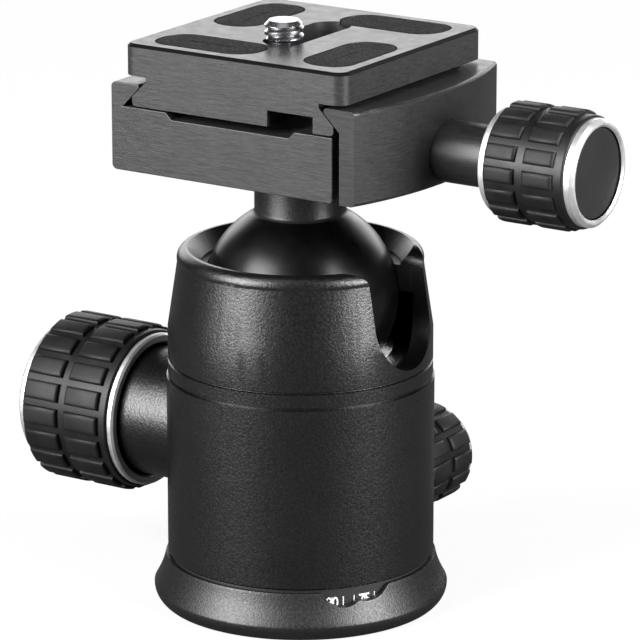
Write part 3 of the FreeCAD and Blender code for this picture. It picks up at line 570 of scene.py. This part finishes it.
# %% Node tree that copies a shape round an axis
def around_tree(name, material):
    """Copies the input mesh Count times round +Z and Rows times along +Z, Pitch apart."""
    tree = bpy.data.node_groups.new(name, "GeometryNodeTree")
    tree.interface.new_socket("Geometry", in_out="INPUT", socket_type="NodeSocketGeometry")
    for label, kind in (("Count", "Int"), ("Rows", "Int"), ("Pitch", "Float")):
        tree.interface.new_socket(label, in_out="INPUT", socket_type="NodeSocket" + kind)
    tree.interface.new_socket("Geometry", in_out="OUTPUT", socket_type="NodeSocketGeometry")

    def add(kind, **settings):
        node = tree.nodes.new(kind)
        for key, value in settings.items():
            setattr(node, key, value)
        return node

    def link(out, into):
        tree.links.new(out, into)

    given = add("NodeGroupInput")
    result = add("NodeGroupOutput")
    total = add("ShaderNodeMath", operation="MULTIPLY")
    link(given.outputs["Count"], total.inputs[0])
    link(given.outputs["Rows"], total.inputs[1])
    cloud = add("GeometryNodePoints")
    link(total.outputs[0], cloud.inputs["Count"])
    index = add("GeometryNodeInputIndex")
    row = add("ShaderNodeMath", operation="DIVIDE")
    link(index.outputs[0], row.inputs[0])
    link(given.outputs["Count"], row.inputs[1])
    whole = add("ShaderNodeMath", operation="FLOOR")
    link(row.outputs[0], whole.inputs[0])
    lift = add("ShaderNodeMath", operation="MULTIPLY")
    link(whole.outputs[0], lift.inputs[0])
    link(given.outputs["Pitch"], lift.inputs[1])
    place = add("ShaderNodeCombineXYZ")
    link(lift.outputs[0], place.inputs["Z"])
    link(place.outputs[0], cloud.inputs["Position"])
    turn = add("ShaderNodeMath", operation="MULTIPLY")
    link(row.outputs[0], turn.inputs[0])
    turn.inputs[1].default_value = 2 * math.pi
    spin = add("ShaderNodeCombineXYZ")
    link(turn.outputs[0], spin.inputs["Z"])
    copies = add("GeometryNodeInstanceOnPoints")
    link(cloud.outputs[0], copies.inputs["Points"])
    link(given.outputs["Geometry"], copies.inputs["Instance"])
    link(spin.outputs[0], copies.inputs["Rotation"])
    real = add("GeometryNodeRealizeInstances")
    link(copies.outputs[0], real.inputs[0])
    finish = add("GeometryNodeSetMaterial")
    finish.inputs["Material"].default_value = material
    link(real.outputs[0], finish.inputs["Geometry"])
    link(finish.outputs[0], result.inputs[0])
    return tree


def copied_round(piece, tree, count, rows, pitch):
    """Runs the tree on a piece and bakes the result into its mesh."""
    modifier = piece.modifiers.new("copies", "NODES")
    modifier.node_group = tree
    values = {"Count": count, "Rows": rows, "Pitch": pitch}
    for item in tree.interface.items_tree:
        if item.in_out == "INPUT" and item.name in values:
            modifier[item.identifier] = values[item.name]
    baked = bpy.data.meshes.new_from_object(piece.evaluated_get(bpy.context.evaluated_depsgraph_get()))
    piece.modifiers.remove(modifier)
    piece.data = baked
    return piece


pad_tree = around_tree("pads_round_a_knob", pad_skin)
print("tree has", len(pad_tree.nodes), "nodes")

# %% [markdown]
# One pad is a small curved block. Its top follows the knob's radius, its long edges are rounded
# like moulded rubber, and its foot sinks into the sleeve so that no gap shows.

# %% One grip pad
PAD_SPAN = 6          # faces across the pad
PAD_RISE = 4          # faces in the rounded edge
PAD_SHARP = 50.0      # edges sharper than this stay sharp on a pad, in degrees


def pad_mesh(name, inner, outer, low, high, half_angle, edge):
    """Block between two radii and two heights, with rounded upper edges."""
    mesh = bmesh.new()
    levels = [(inner, 0.0)]
    for k in range(PAD_RISE + 1):
        a = math.pi / 2 * k / PAD_RISE
        levels.append((outer - edge + edge * math.sin(a), edge * (1 - math.cos(a))))
    rings = []
    for radius, inset in levels:
        turn = half_angle - inset / outer
        z0, z1 = low + inset, high - inset
        ring = []
        for k in range(PAD_SPAN + 1):
            angle = -turn + 2 * turn * k / PAD_SPAN
            ring.append((radius, angle, z0))
        for k in range(PAD_SPAN + 1):
            angle = turn - 2 * turn * k / PAD_SPAN
            ring.append((radius, angle, z1))
        rings.append([mesh.verts.new((r * math.cos(a), r * math.sin(a), z)) for r, a, z in ring])
    size = len(rings[0])
    for low_ring, high_ring in zip(rings, rings[1:]):
        for k in range(size):
            n = (k + 1) % size
            mesh.faces.new((low_ring[k], low_ring[n], high_ring[n], high_ring[k]))
    for ring in (rings[0], rings[-1]):
        for k in range(PAD_SPAN):
            mesh.faces.new((ring[k], ring[k + 1], ring[size - 2 - k], ring[size - 1 - k]))
    bmesh.ops.recalc_face_normals(mesh, faces=mesh.faces)
    for face in mesh.faces:
        face.smooth = True
    data = bpy.data.meshes.new(name)
    mesh.to_mesh(data)
    mesh.free()
    data.set_sharp_from_angle(angle=math.radians(PAD_SHARP))
    return shown(name, data)

# %% [markdown]
# With these tools a whole knob is one short function. It takes its place and its outer sizes from
# the solids, so it always sits where the model says, and adds what the solid only hints at.

# %% One knob
GROOVE_WIDTH = 1.5 * MM     # groove between the rows
PAD_GAP = 1.15 * MM         # between two pads of a row
PAD_EDGE = 0.55 * MM        # rounding of a pad's upper edges
PAD_FOOT = 0.15 * MM        # how far a pad's foot is sunk into the sleeve
CAP_SINK = 0.5 * MM         # from the hub's end down to the cap's place
CAP_THICK = 1.4 * MM
CAP_FIT = 0.05 * MM         # gap round the cap, and from its place down to its edge
CAP_DISH = 0.10 * MM        # from its place down to its middle
CAP_ROUND = 0.25 * MM
RIM_ROUND = 0.10 * MM
BORE_ROUND = 0.2 * MM
INNER_BEVEL = 0.35 * MM
OUTER_BEVEL = 0.6 * MM      # round the outer rim's outer edge, which shows as a wide bright cone
SLEEVE_FIT = 0.05 * MM
SLEEVE_ROUND = 0.5 * MM
SLEEVE_STEPS = 6            # faces in the sleeve's rounded ends


def along(low, high, axis):
    """Start, end and radius of a turned solid, measured along axis."""
    index = max(range(3), key=lambda i: abs(axis[i]))
    ends = sorted((low[index] * axis[index], high[index] * axis[index]))
    side = (index + 1) % 3
    return ends[0], ends[1], (high[side] - low[side]) / 2


def knob(name, axis, pads, bore, bore_depth, radii, rims, lips):
    """Hub with bright rims, rubber sleeve with pads, and cap, on the solids name_hub and so on.

    radii are those of the inner rim, the outer rim, the core, the sleeve and the cap's seat.
    rims are the widths of the inner and the outer rim, lips those of the sleeve's plain ends."""
    body = name + "_knob"
    hub_low, hub_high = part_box(name + "_hub")
    start, end, _ = along(hub_low, hub_high, axis)
    centre = (hub_low + hub_high) / 2
    grip_low, grip_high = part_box(name + "_grip")
    _, _, pad_r = along(grip_low, grip_high, axis)
    inner_r, outer_r, core_r, base_r, cap_radius = (radius * MM for radius in radii)
    inner_w, outer_w = (width * MM for width in rims)
    inner_lip, outer_lip = (width * MM for width in lips)
    bore, bore_depth = bore * MM, bore_depth * MM
    length = end - start
    origin = centre - Vector(axis) * (length / 2)
    rim = RIM_ROUND
    near, far = inner_w, length - outer_w
    seat = length - CAP_SINK - CAP_THICK
    hub = rounded([
        (0.0, bore_depth, 0, 0), (bore, bore_depth, BORE_ROUND, 0), (bore, INNER_BEVEL, 0, 1),
        (bore + INNER_BEVEL, 0.0, rim, 1), (inner_r - INNER_BEVEL, 0.0, rim, 1),
        (inner_r, INNER_BEVEL, rim, 1), (inner_r, near, 0, 0), (core_r, near, 0, 0),
        (core_r, far, 0, 0), (outer_r, far, 0, 1),
        (outer_r, length - OUTER_BEVEL, rim, 1), (outer_r - OUTER_BEVEL, length, rim, 1),
        (cap_radius + INNER_BEVEL, length, rim, 1), (cap_radius, length - INNER_BEVEL, rim, 0),
        (cap_radius, seat, 0, 0), (0.0, seat, 0, 0)])
    piece = spun(name + "_knob_hub", hub, origin, axis)
    dress(piece, body, [black_blasted, diamond_cut], (name + "_hub",))

    top = length - CAP_SINK
    disc_r = cap_radius - CAP_FIT
    cap = rounded([(0.0, seat, 0, 0), (disc_r, seat, 0, 0), (disc_r, top - CAP_FIT, CAP_ROUND, 0),
                   (disc_r / 2, top - CAP_DISH * 0.9, 0, 0), (0.0, top - CAP_DISH, 0, 0)])
    piece = spun(name + "_knob_cap", cap, origin, axis)
    dress(piece, body, [cap_plastic], (name + "_cap",))

    lining_r = core_r + SLEEVE_FIT
    sleeve = rounded([(lining_r, near, 0, 0), (base_r, near, SLEEVE_ROUND, 0),
                      (base_r, far, SLEEVE_ROUND, 0), (lining_r, far, 0, 0)], SLEEVE_STEPS)
    piece = spun(name + "_knob_sleeve", sleeve, origin, axis)
    dress(piece, body, [sleeve_skin], (name + "_grip",))

    low = near + inner_lip
    middle = (low + far - outer_lip) / 2
    high = middle - GROOVE_WIDTH / 2
    half = math.pi / pads - PAD_GAP / (2 * pad_r)
    block = pad_mesh(name + "_knob_pads", base_r - PAD_FOOT, pad_r, low, high, half, PAD_EDGE)
    block = copied_round(block, pad_tree, pads, 2, middle + GROOVE_WIDTH / 2 - low)
    turn = Vector((0, 0, 1)).rotation_difference(Vector(axis))
    block.data.transform(Matrix.Translation(origin) @ turn.to_matrix().to_4x4())
    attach(block, body)
    print(block.name, "on", body, len(block.data.polygons), "faces")


knob("lock", (-1, 0, 0), pads=20, bore=11.3, bore_depth=3.4,
     radii=(12.94, 12.24, 12.1, 13.45, 10.9), rims=(1.1, 1.9), lips=(1.5, 0.5))
knob("clamp", (1, 0, 0), pads=16, bore=6.6, bore_depth=0.8,
     radii=(8.6, 8.6, 8.1, 9.0, 7.3), rims=(1.25, 1.65), lips=(0.3, 1.7))
knob("pan", (0, 1, 0), pads=14, bore=6.0, bore_depth=0.8,
     radii=(7.75, 7.75, 7.3, 8.0, 6.6), rims=(1.25, 1.4), lips=(1.7, 0.3))

# %% [markdown]
# The camera screw is a quarter inch across with twenty threads to the inch. A real thread is one
# groove that climbs, not a stack of rings, so the radius of each point depends on its height and
# its angle together. The thread fades out into the neck below and the chamfer at the tip. The
# head is seen only from below and is left plain, without the slot it has for a coin.

# %% Camera screw
SCREW_PITCH = 1.27 * MM
THREAD_DEPTH = 0.62 * MM
THREAD_SLOPE = 1.55          # how steeply a flank climbs, so that crests come out narrow and flat
THREAD_FADE = 0.45 * MM      # height over which the thread grows out of the neck
SCREW_STEPS = 96             # points round the screw
SCREW_ROWS = 110             # rows of points up the thread
HEAD_CORNER = 0.3 * MM
HEAD_EDGE = 0.1 * MM
screw_low, screw_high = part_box("camera_screw")
screw_x = (screw_low.x + screw_high.x) / 2
screw_y = (screw_low.y + screw_high.y) / 2
head_r = (screw_high.y - screw_low.y) / 2
SCREW_R = 3.175 * MM
SCREW_NECK = 2.6 * MM
HEAD_HEIGHT = 2.6 * MM
TIP_CHAMFER = 0.75 * MM
TIP_SLOPE = 0.95             # drop of the tip's radius for each unit of height
SCREW_SHARP = 35.0           # edges sharper than this stay sharp on the screw, in degrees
thread_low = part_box("plate_pads")[1].z


def thread_radius(z, angle):
    """Radius of the thread at a height and an angle."""
    phase = (z / SCREW_PITCH - angle / (2 * math.pi)) % 1.0
    ridge = min(1.0, THREAD_SLOPE * (1 - abs(2 * phase - 1)))
    fade = min(1.0, (z - thread_low) / THREAD_FADE)
    crest = SCREW_R - THREAD_DEPTH * (1 - ridge)
    radius = SCREW_NECK + (crest - SCREW_NECK) * max(fade, 0.0)
    tip = SCREW_R - max(0.0, z - (screw_high.z - TIP_CHAMFER)) * TIP_SLOPE
    return min(radius, tip)


def camera_screw_mesh():
    mesh = bmesh.new()
    rings = []
    heights = [thread_low + (screw_high.z - thread_low) * k / SCREW_ROWS for k in range(SCREW_ROWS + 1)]
    low = screw_low.z
    head_top = low + HEAD_HEIGHT
    plain = [(0.0, low), (head_r - HEAD_CORNER, low), (head_r, low + HEAD_CORNER),
             (head_r, head_top - HEAD_EDGE), (head_r - HEAD_EDGE, head_top), (SCREW_NECK, head_top)]
    rows = [[(r, z)] * SCREW_STEPS for r, z in plain]
    for z in heights:
        rows.append([(thread_radius(z, 2 * math.pi * k / SCREW_STEPS), z) for k in range(SCREW_STEPS)])
    rows.append([(0.0, screw_high.z)])
    for row in rows:
        count = 1 if row[0][0] == 0.0 else SCREW_STEPS
        ring = []
        for k in range(count):
            angle = 2 * math.pi * k / SCREW_STEPS
            ring.append(mesh.verts.new((screw_x + row[k][0] * math.cos(angle),
                                        screw_y + row[k][0] * math.sin(angle), row[k][1])))
        rings.append(ring)
    for low_ring, high_ring in zip(rings, rings[1:]):
        for k in range(SCREW_STEPS):
            n = (k + 1) % SCREW_STEPS
            corners = [low_ring[k % len(low_ring)], low_ring[n % len(low_ring)],
                       high_ring[n % len(high_ring)], high_ring[k % len(high_ring)]]
            corners = [v for i, v in enumerate(corners) if v not in corners[:i]]
            mesh.faces.new(corners).smooth = True
    bmesh.ops.recalc_face_normals(mesh, faces=mesh.faces)
    data = bpy.data.meshes.new("camera_screw_thread")
    mesh.to_mesh(data)
    mesh.free()
    data.set_sharp_from_angle(angle=math.radians(SCREW_SHARP))
    return shown("camera_screw_thread", data)


dress(camera_screw_mesh(), "camera_screw", [nickel], ("camera_screw",))

# %% [markdown]
# Four rubber pads lie in pockets in the plate's top. Crumb rubber is ragged at its rim and pitted
# on top, and that raggedness is seen against the pale metal, so it is real geometry here: a fine
# fan of rings from the outline inwards, with each point lifted and pushed by noise.

# %% Crumb rubber pads
plate_low, plate_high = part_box("quick_release_plate")
PLATE_X, PLATE_Y, _ = (plate_low + plate_high) / 2
PLATE_HALF_W = plate_high.x - PLATE_X
PLATE_HALF_L = plate_high.y - PLATE_Y
PLATE_TOP = plate_high.z
PAD_LEN = 19.2 * MM
PAD_W = 9.1 * MM
PAD_INSET = 2.3 * MM
PAD_START = 3.1 * MM
PAD_NEAR_R = 3.6 * MM
PAD_FAR_R = 4.4 * MM
PAD_SINK = 0.5 * MM          # how far a pad reaches down into its pocket
PAD_CRUMB = 0.35 * MM        # spacing of the points along the outline
PAD_WORN = 0.12 * MM         # the outline is worn back by this much, more or less
PAD_FALL = 0.18 * MM         # how much lower the outermost ring lies
PAD_RINGS = 26
PAD_MERGE = 0.001 * MM       # points closer than this are one point
CORNER_POINTS = 20           # points in each rounded corner
EDGE_GRAIN = 0.45 * MM       # size of the crumbs along the outline, and then of those on top
COARSE_GRAIN = 0.5 * MM
FINE_GRAIN = 0.22 * MM
FINE_SHARE = 0.6             # height of the fine crumbs, where the coarse ones have 1
CRUMB_LIFT = 0.04 * MM       # how far the crumbs stand above the plate on average
CRUMB_SPREAD = 0.09 * MM     # how far a coarse one rises above that


def pad_outline():
    """Points round one pad on the front side of the plate, about the plate's middle."""
    x0, y0 = -PLATE_HALF_W + PAD_START, -PLATE_HALF_L + PAD_INSET
    x1, y1 = x0 + PAD_LEN, y0 + PAD_W
    corners = [(x1, y0, PAD_FAR_R, -90), (x1, y1, PAD_FAR_R, 0), (x0, y1, PAD_FAR_R, 90),
               (x0, y0, PAD_NEAR_R, 180)]
    points = []
    for x, y, r, first in corners:
        cx = x - r if x == x1 else x + r
        cy = y - r if y == y1 else y + r
        for k in range(CORNER_POINTS + 1):
            a = math.radians(first + 90 * k / CORNER_POINTS)
            points.append(Vector((cx + r * math.cos(a), cy + r * math.sin(a))))
    full = []
    for here, after in zip(points, points[1:] + points[:1]):
        parts = max(1, round((after - here).length / PAD_CRUMB))
        full += [here.lerp(after, k / parts) for k in range(parts)]
    return full


def ragged(point, scale, seed):
    """Noise from about -1 to 1 at a point of the plate, with features scale metres wide."""
    return noise.noise(Vector((point.x, point.y, seed)) / scale)


def crumb_spot(point, core, level, quarter):
    """Where a point of the outline lies on a ring: -1 is the foot, 0 the rim, and others lie further in."""
    inward = max(level, 0) / PAD_RINGS
    edge = (ragged(point, EDGE_GRAIN, quarter) - 1) * PAD_WORN if level >= 0 else 0.0
    spot = core + (point - core) * (1 - inward) + (point - core).normalized() * (edge * (1 - inward))
    if level < 0:
        return spot.x, spot.y, PLATE_TOP - PAD_SINK
    lift = ragged(spot, COARSE_GRAIN, 7.0 + quarter) + FINE_SHARE * ragged(spot, FINE_GRAIN, 3.0)
    fall = PAD_FALL * max(0.0, 1 - level / 2)
    return spot.x, spot.y, PLATE_TOP + CRUMB_LIFT + CRUMB_SPREAD * lift - fall


def pads_mesh():
    outline = pad_outline()
    mesh = bmesh.new()
    middle_x = -PLATE_HALF_W + PAD_START + PAD_LEN / 2
    middle_y = -PLATE_HALF_L + PAD_INSET + PAD_W / 2
    for quarter in range(4):
        turn = Matrix.Rotation(math.radians(90 * quarter), 2)
        middle = turn @ Vector((middle_x, middle_y))
        half = turn @ Vector((PAD_LEN / 2 - PAD_W / 2, 0.0))
        rim = [turn @ p for p in outline]
        cores = []
        for p in rim:
            reach = max(-1.0, min(1.0, (p - middle).dot(half) / half.length_squared))
            cores.append(middle + half * reach)
        rows = []
        for level in range(-1, PAD_RINGS):
            ring = [crumb_spot(p, core, level, quarter) for p, core in zip(rim, cores)]
            rows.append([mesh.verts.new((x + PLATE_X, y + PLATE_Y, z)) for x, y, z in ring])
        size = len(rim)
        for low_row, high_row in zip(rows, rows[1:]):
            for k in range(size):
                n = (k + 1) % size
                mesh.faces.new((low_row[k], low_row[n], high_row[n], high_row[k]))
        bottom = mesh.faces.new(rows[0])
        top = mesh.faces.new(rows[-1])
        bmesh.ops.triangulate(mesh, faces=[bottom, top])
    bmesh.ops.remove_doubles(mesh, verts=mesh.verts, dist=PAD_MERGE)
    bmesh.ops.recalc_face_normals(mesh, faces=mesh.faces)
    for face in mesh.faces:
        face.smooth = True
    data = bpy.data.meshes.new("crumb_pads")
    mesh.to_mesh(data)
    mesh.free()
    return shown("crumb_pads", data)


dress(pads_mesh(), "plate", [pad_rubber], ("plate_pads",))

# %% [markdown]
# The scale turns with the housing and shows through the window in the base. Its numbers count
# every fifteen degrees and its lines every five. Text is made a mesh, bent round the ring by
# turning distance along the text into angle, and given the thickness of a coat of ink.

# %% Scale numbers and lines
SCALE_R = 21.5 * MM
NUMBER_HEIGHT = 1.9 * MM
NUMBER_BASE_Z = 4.75 * MM
LINE_LOW_Z = 4.6 * MM
LINE_HIGH_Z = 6.55 * MM
LINE_WIDTH = 0.16 * MM
INK = 0.02 * MM              # thickness of the ink
INK_MERGE = 0.0005 * MM      # points of a number closer than this are one point
FONT_SIZE = 1.38             # font size for a digit one unit high
FONT_WIDTH = 0.82            # how much the digits are narrowed
FONT_BOLD = 0.035 * MM       # how much their strokes are widened on each side
NUMBER_STEP = 15             # degrees from number to number
LINE_COUNT = 72
SCALE_ZERO = 47.0            # angle, from +X, at which the scale reads nought


def number_mesh(value, angle):
    text = bpy.data.curves.new("number", "FONT")
    text.body = str(value)
    text.size = NUMBER_HEIGHT * FONT_SIZE
    text.align_x = "CENTER"
    text.extrude = INK
    text.offset = FONT_BOLD
    text.resolution_u = 3
    thing = shown("number", text)
    data = bpy.data.meshes.new_from_object(thing.evaluated_get(bpy.context.evaluated_depsgraph_get()))
    bpy.data.objects.remove(thing)
    for vertex in data.vertices:
        turn = math.radians(angle) + vertex.co.x * FONT_WIDTH / SCALE_R
        radius = SCALE_R + vertex.co.z
        height = NUMBER_BASE_Z + vertex.co.y
        vertex.co = (radius * math.cos(turn), radius * math.sin(turn), height)
    return data


def scale_numbers():
    mesh = bmesh.new()
    for value in range(0, 360, NUMBER_STEP):
        mesh.from_mesh(number_mesh(value, SCALE_ZERO - value))
    bmesh.ops.remove_doubles(mesh, verts=mesh.verts, dist=INK_MERGE)
    bmesh.ops.recalc_face_normals(mesh, faces=mesh.faces)
    data = bpy.data.meshes.new("scale_numbers")
    mesh.to_mesh(data)
    mesh.free()
    return shown("scale_numbers", data)


def scale_line():
    """One upright line at angle nought, for the tree to copy round."""
    mesh = bmesh.new()
    bmesh.ops.create_cube(mesh, size=1.0)
    middle = (LINE_LOW_Z + LINE_HIGH_Z) / 2
    for vertex in mesh.verts:
        x, y, z = vertex.co
        vertex.co = (SCALE_R + x * 2 * INK, y * LINE_WIDTH, middle + z * (LINE_HIGH_Z - LINE_LOW_Z))
    data = bpy.data.meshes.new("scale_lines")
    mesh.to_mesh(data)
    mesh.free()
    return shown("scale_lines", data)


dress(scale_numbers(), "housing", [white_ink])
line_tree = around_tree("lines_round_the_scale", white_ink)
lines = scale_line()
lines.data.transform(Matrix.Rotation(math.radians(SCALE_ZERO), 4, "Z"))
lines = copied_round(lines, line_tree, LINE_COUNT, 1, 0.0)
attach(lines, "housing")
print("scale has", len(lines.data.polygons), "line faces")

# %% [markdown]
# The table and the world read white to the camera alone, and the table still takes the soft
# shadow at the foot. Black metal is drawn by what it mirrors, so everything else stays dark but
# four soft boxes. Two tall ones stand nearly 60 degrees to the left and right of the camera and
# draw the two stripes down the housing. A wide low one behind shines along the plate's top and the
# far edges, and a small one overhead picks out the upper sides of the knobs.

# %% Table, world and lights
FLOOR_SIZE = 6.0
FLOOR_GAP = 0.05 * MM        # the table lies this far below the base
WORLD_DIM = 0.03             # what the object mirrors where no soft box stands
FLOOR_LIFT = 0.86            # added brightness that only the camera sees
LAMP_AIM = Vector((0.0, 0.0, 50 * MM))

floor_mesh = bpy.data.meshes.new("table")
edge = FLOOR_SIZE / 2
corners = [(x * edge, y * edge, -FLOOR_GAP) for x, y in ((-1, -1), (1, -1), (1, 1), (-1, 1))]
floor_mesh.from_pydata(corners, [], [(0, 1, 2, 3)])
floor = shown("table", floor_mesh)
table = Finish("white_table", (0.10, 0.10, 0.10), 0.7, Specular_IOR_Level=0.0)
seen = table.node("ShaderNodeLightPath", out="Is Camera Ray")
table.shader.inputs["Emission Strength"].default_value = FLOOR_LIFT
table.feed("Emission Color", table.blend(seen, (0.0, 0.0, 0.0), (1.0, 1.0, 1.0)))
floor.data.materials.append(table.material)

world = bpy.data.worlds.new("studio")
world.use_nodes = True
bpy.context.scene.world = world
world_nodes = world.node_tree
background = world_nodes.nodes["Background"]
ray = world_nodes.nodes.new("ShaderNodeLightPath")
choice = world_nodes.nodes.new("ShaderNodeMix")
choice.data_type = "RGBA"
choice.inputs[6].default_value = (WORLD_DIM, WORLD_DIM, WORLD_DIM, 1.0)
choice.inputs[7].default_value = (1.0, 1.0, 1.0, 1.0)
world_nodes.links.new(ray.outputs["Is Camera Ray"], choice.inputs[0])
world_nodes.links.new(choice.outputs[2], background.inputs["Color"])


def lamp(name, turn, elevation, distance, size, power):
    """Soft box turned about the object by so many degrees from the camera, aimed at the head."""
    light = bpy.data.lights.new(name, "AREA")
    light.shape = "RECTANGLE"
    light.size, light.size_y = size
    light.energy = power
    thing = bpy.data.objects.new(name, light)
    bpy.context.scene.collection.objects.link(thing)
    a, e = math.radians(CAMERA_AZIMUTH + turn), math.radians(elevation)
    spot = Vector((math.sin(a) * math.cos(e), -math.cos(a) * math.cos(e), math.sin(e))) * distance
    thing.location = spot + LAMP_AIM
    thing.rotation_euler = (-spot).to_track_quat("-Z", "Y").to_euler()
    thing.visible_camera = False


lamp("left_box", -57, 21, 0.75, (0.46, 0.55), 16.0)
lamp("right_box", 58, 21, 0.75, (0.30, 0.55), 13.5)
lamp("back_box", 176, 16, 1.0, (1.6, 0.5), 8.0)
lamp("top_box", -20, 72, 0.8, (0.5, 0.5), 0.8)
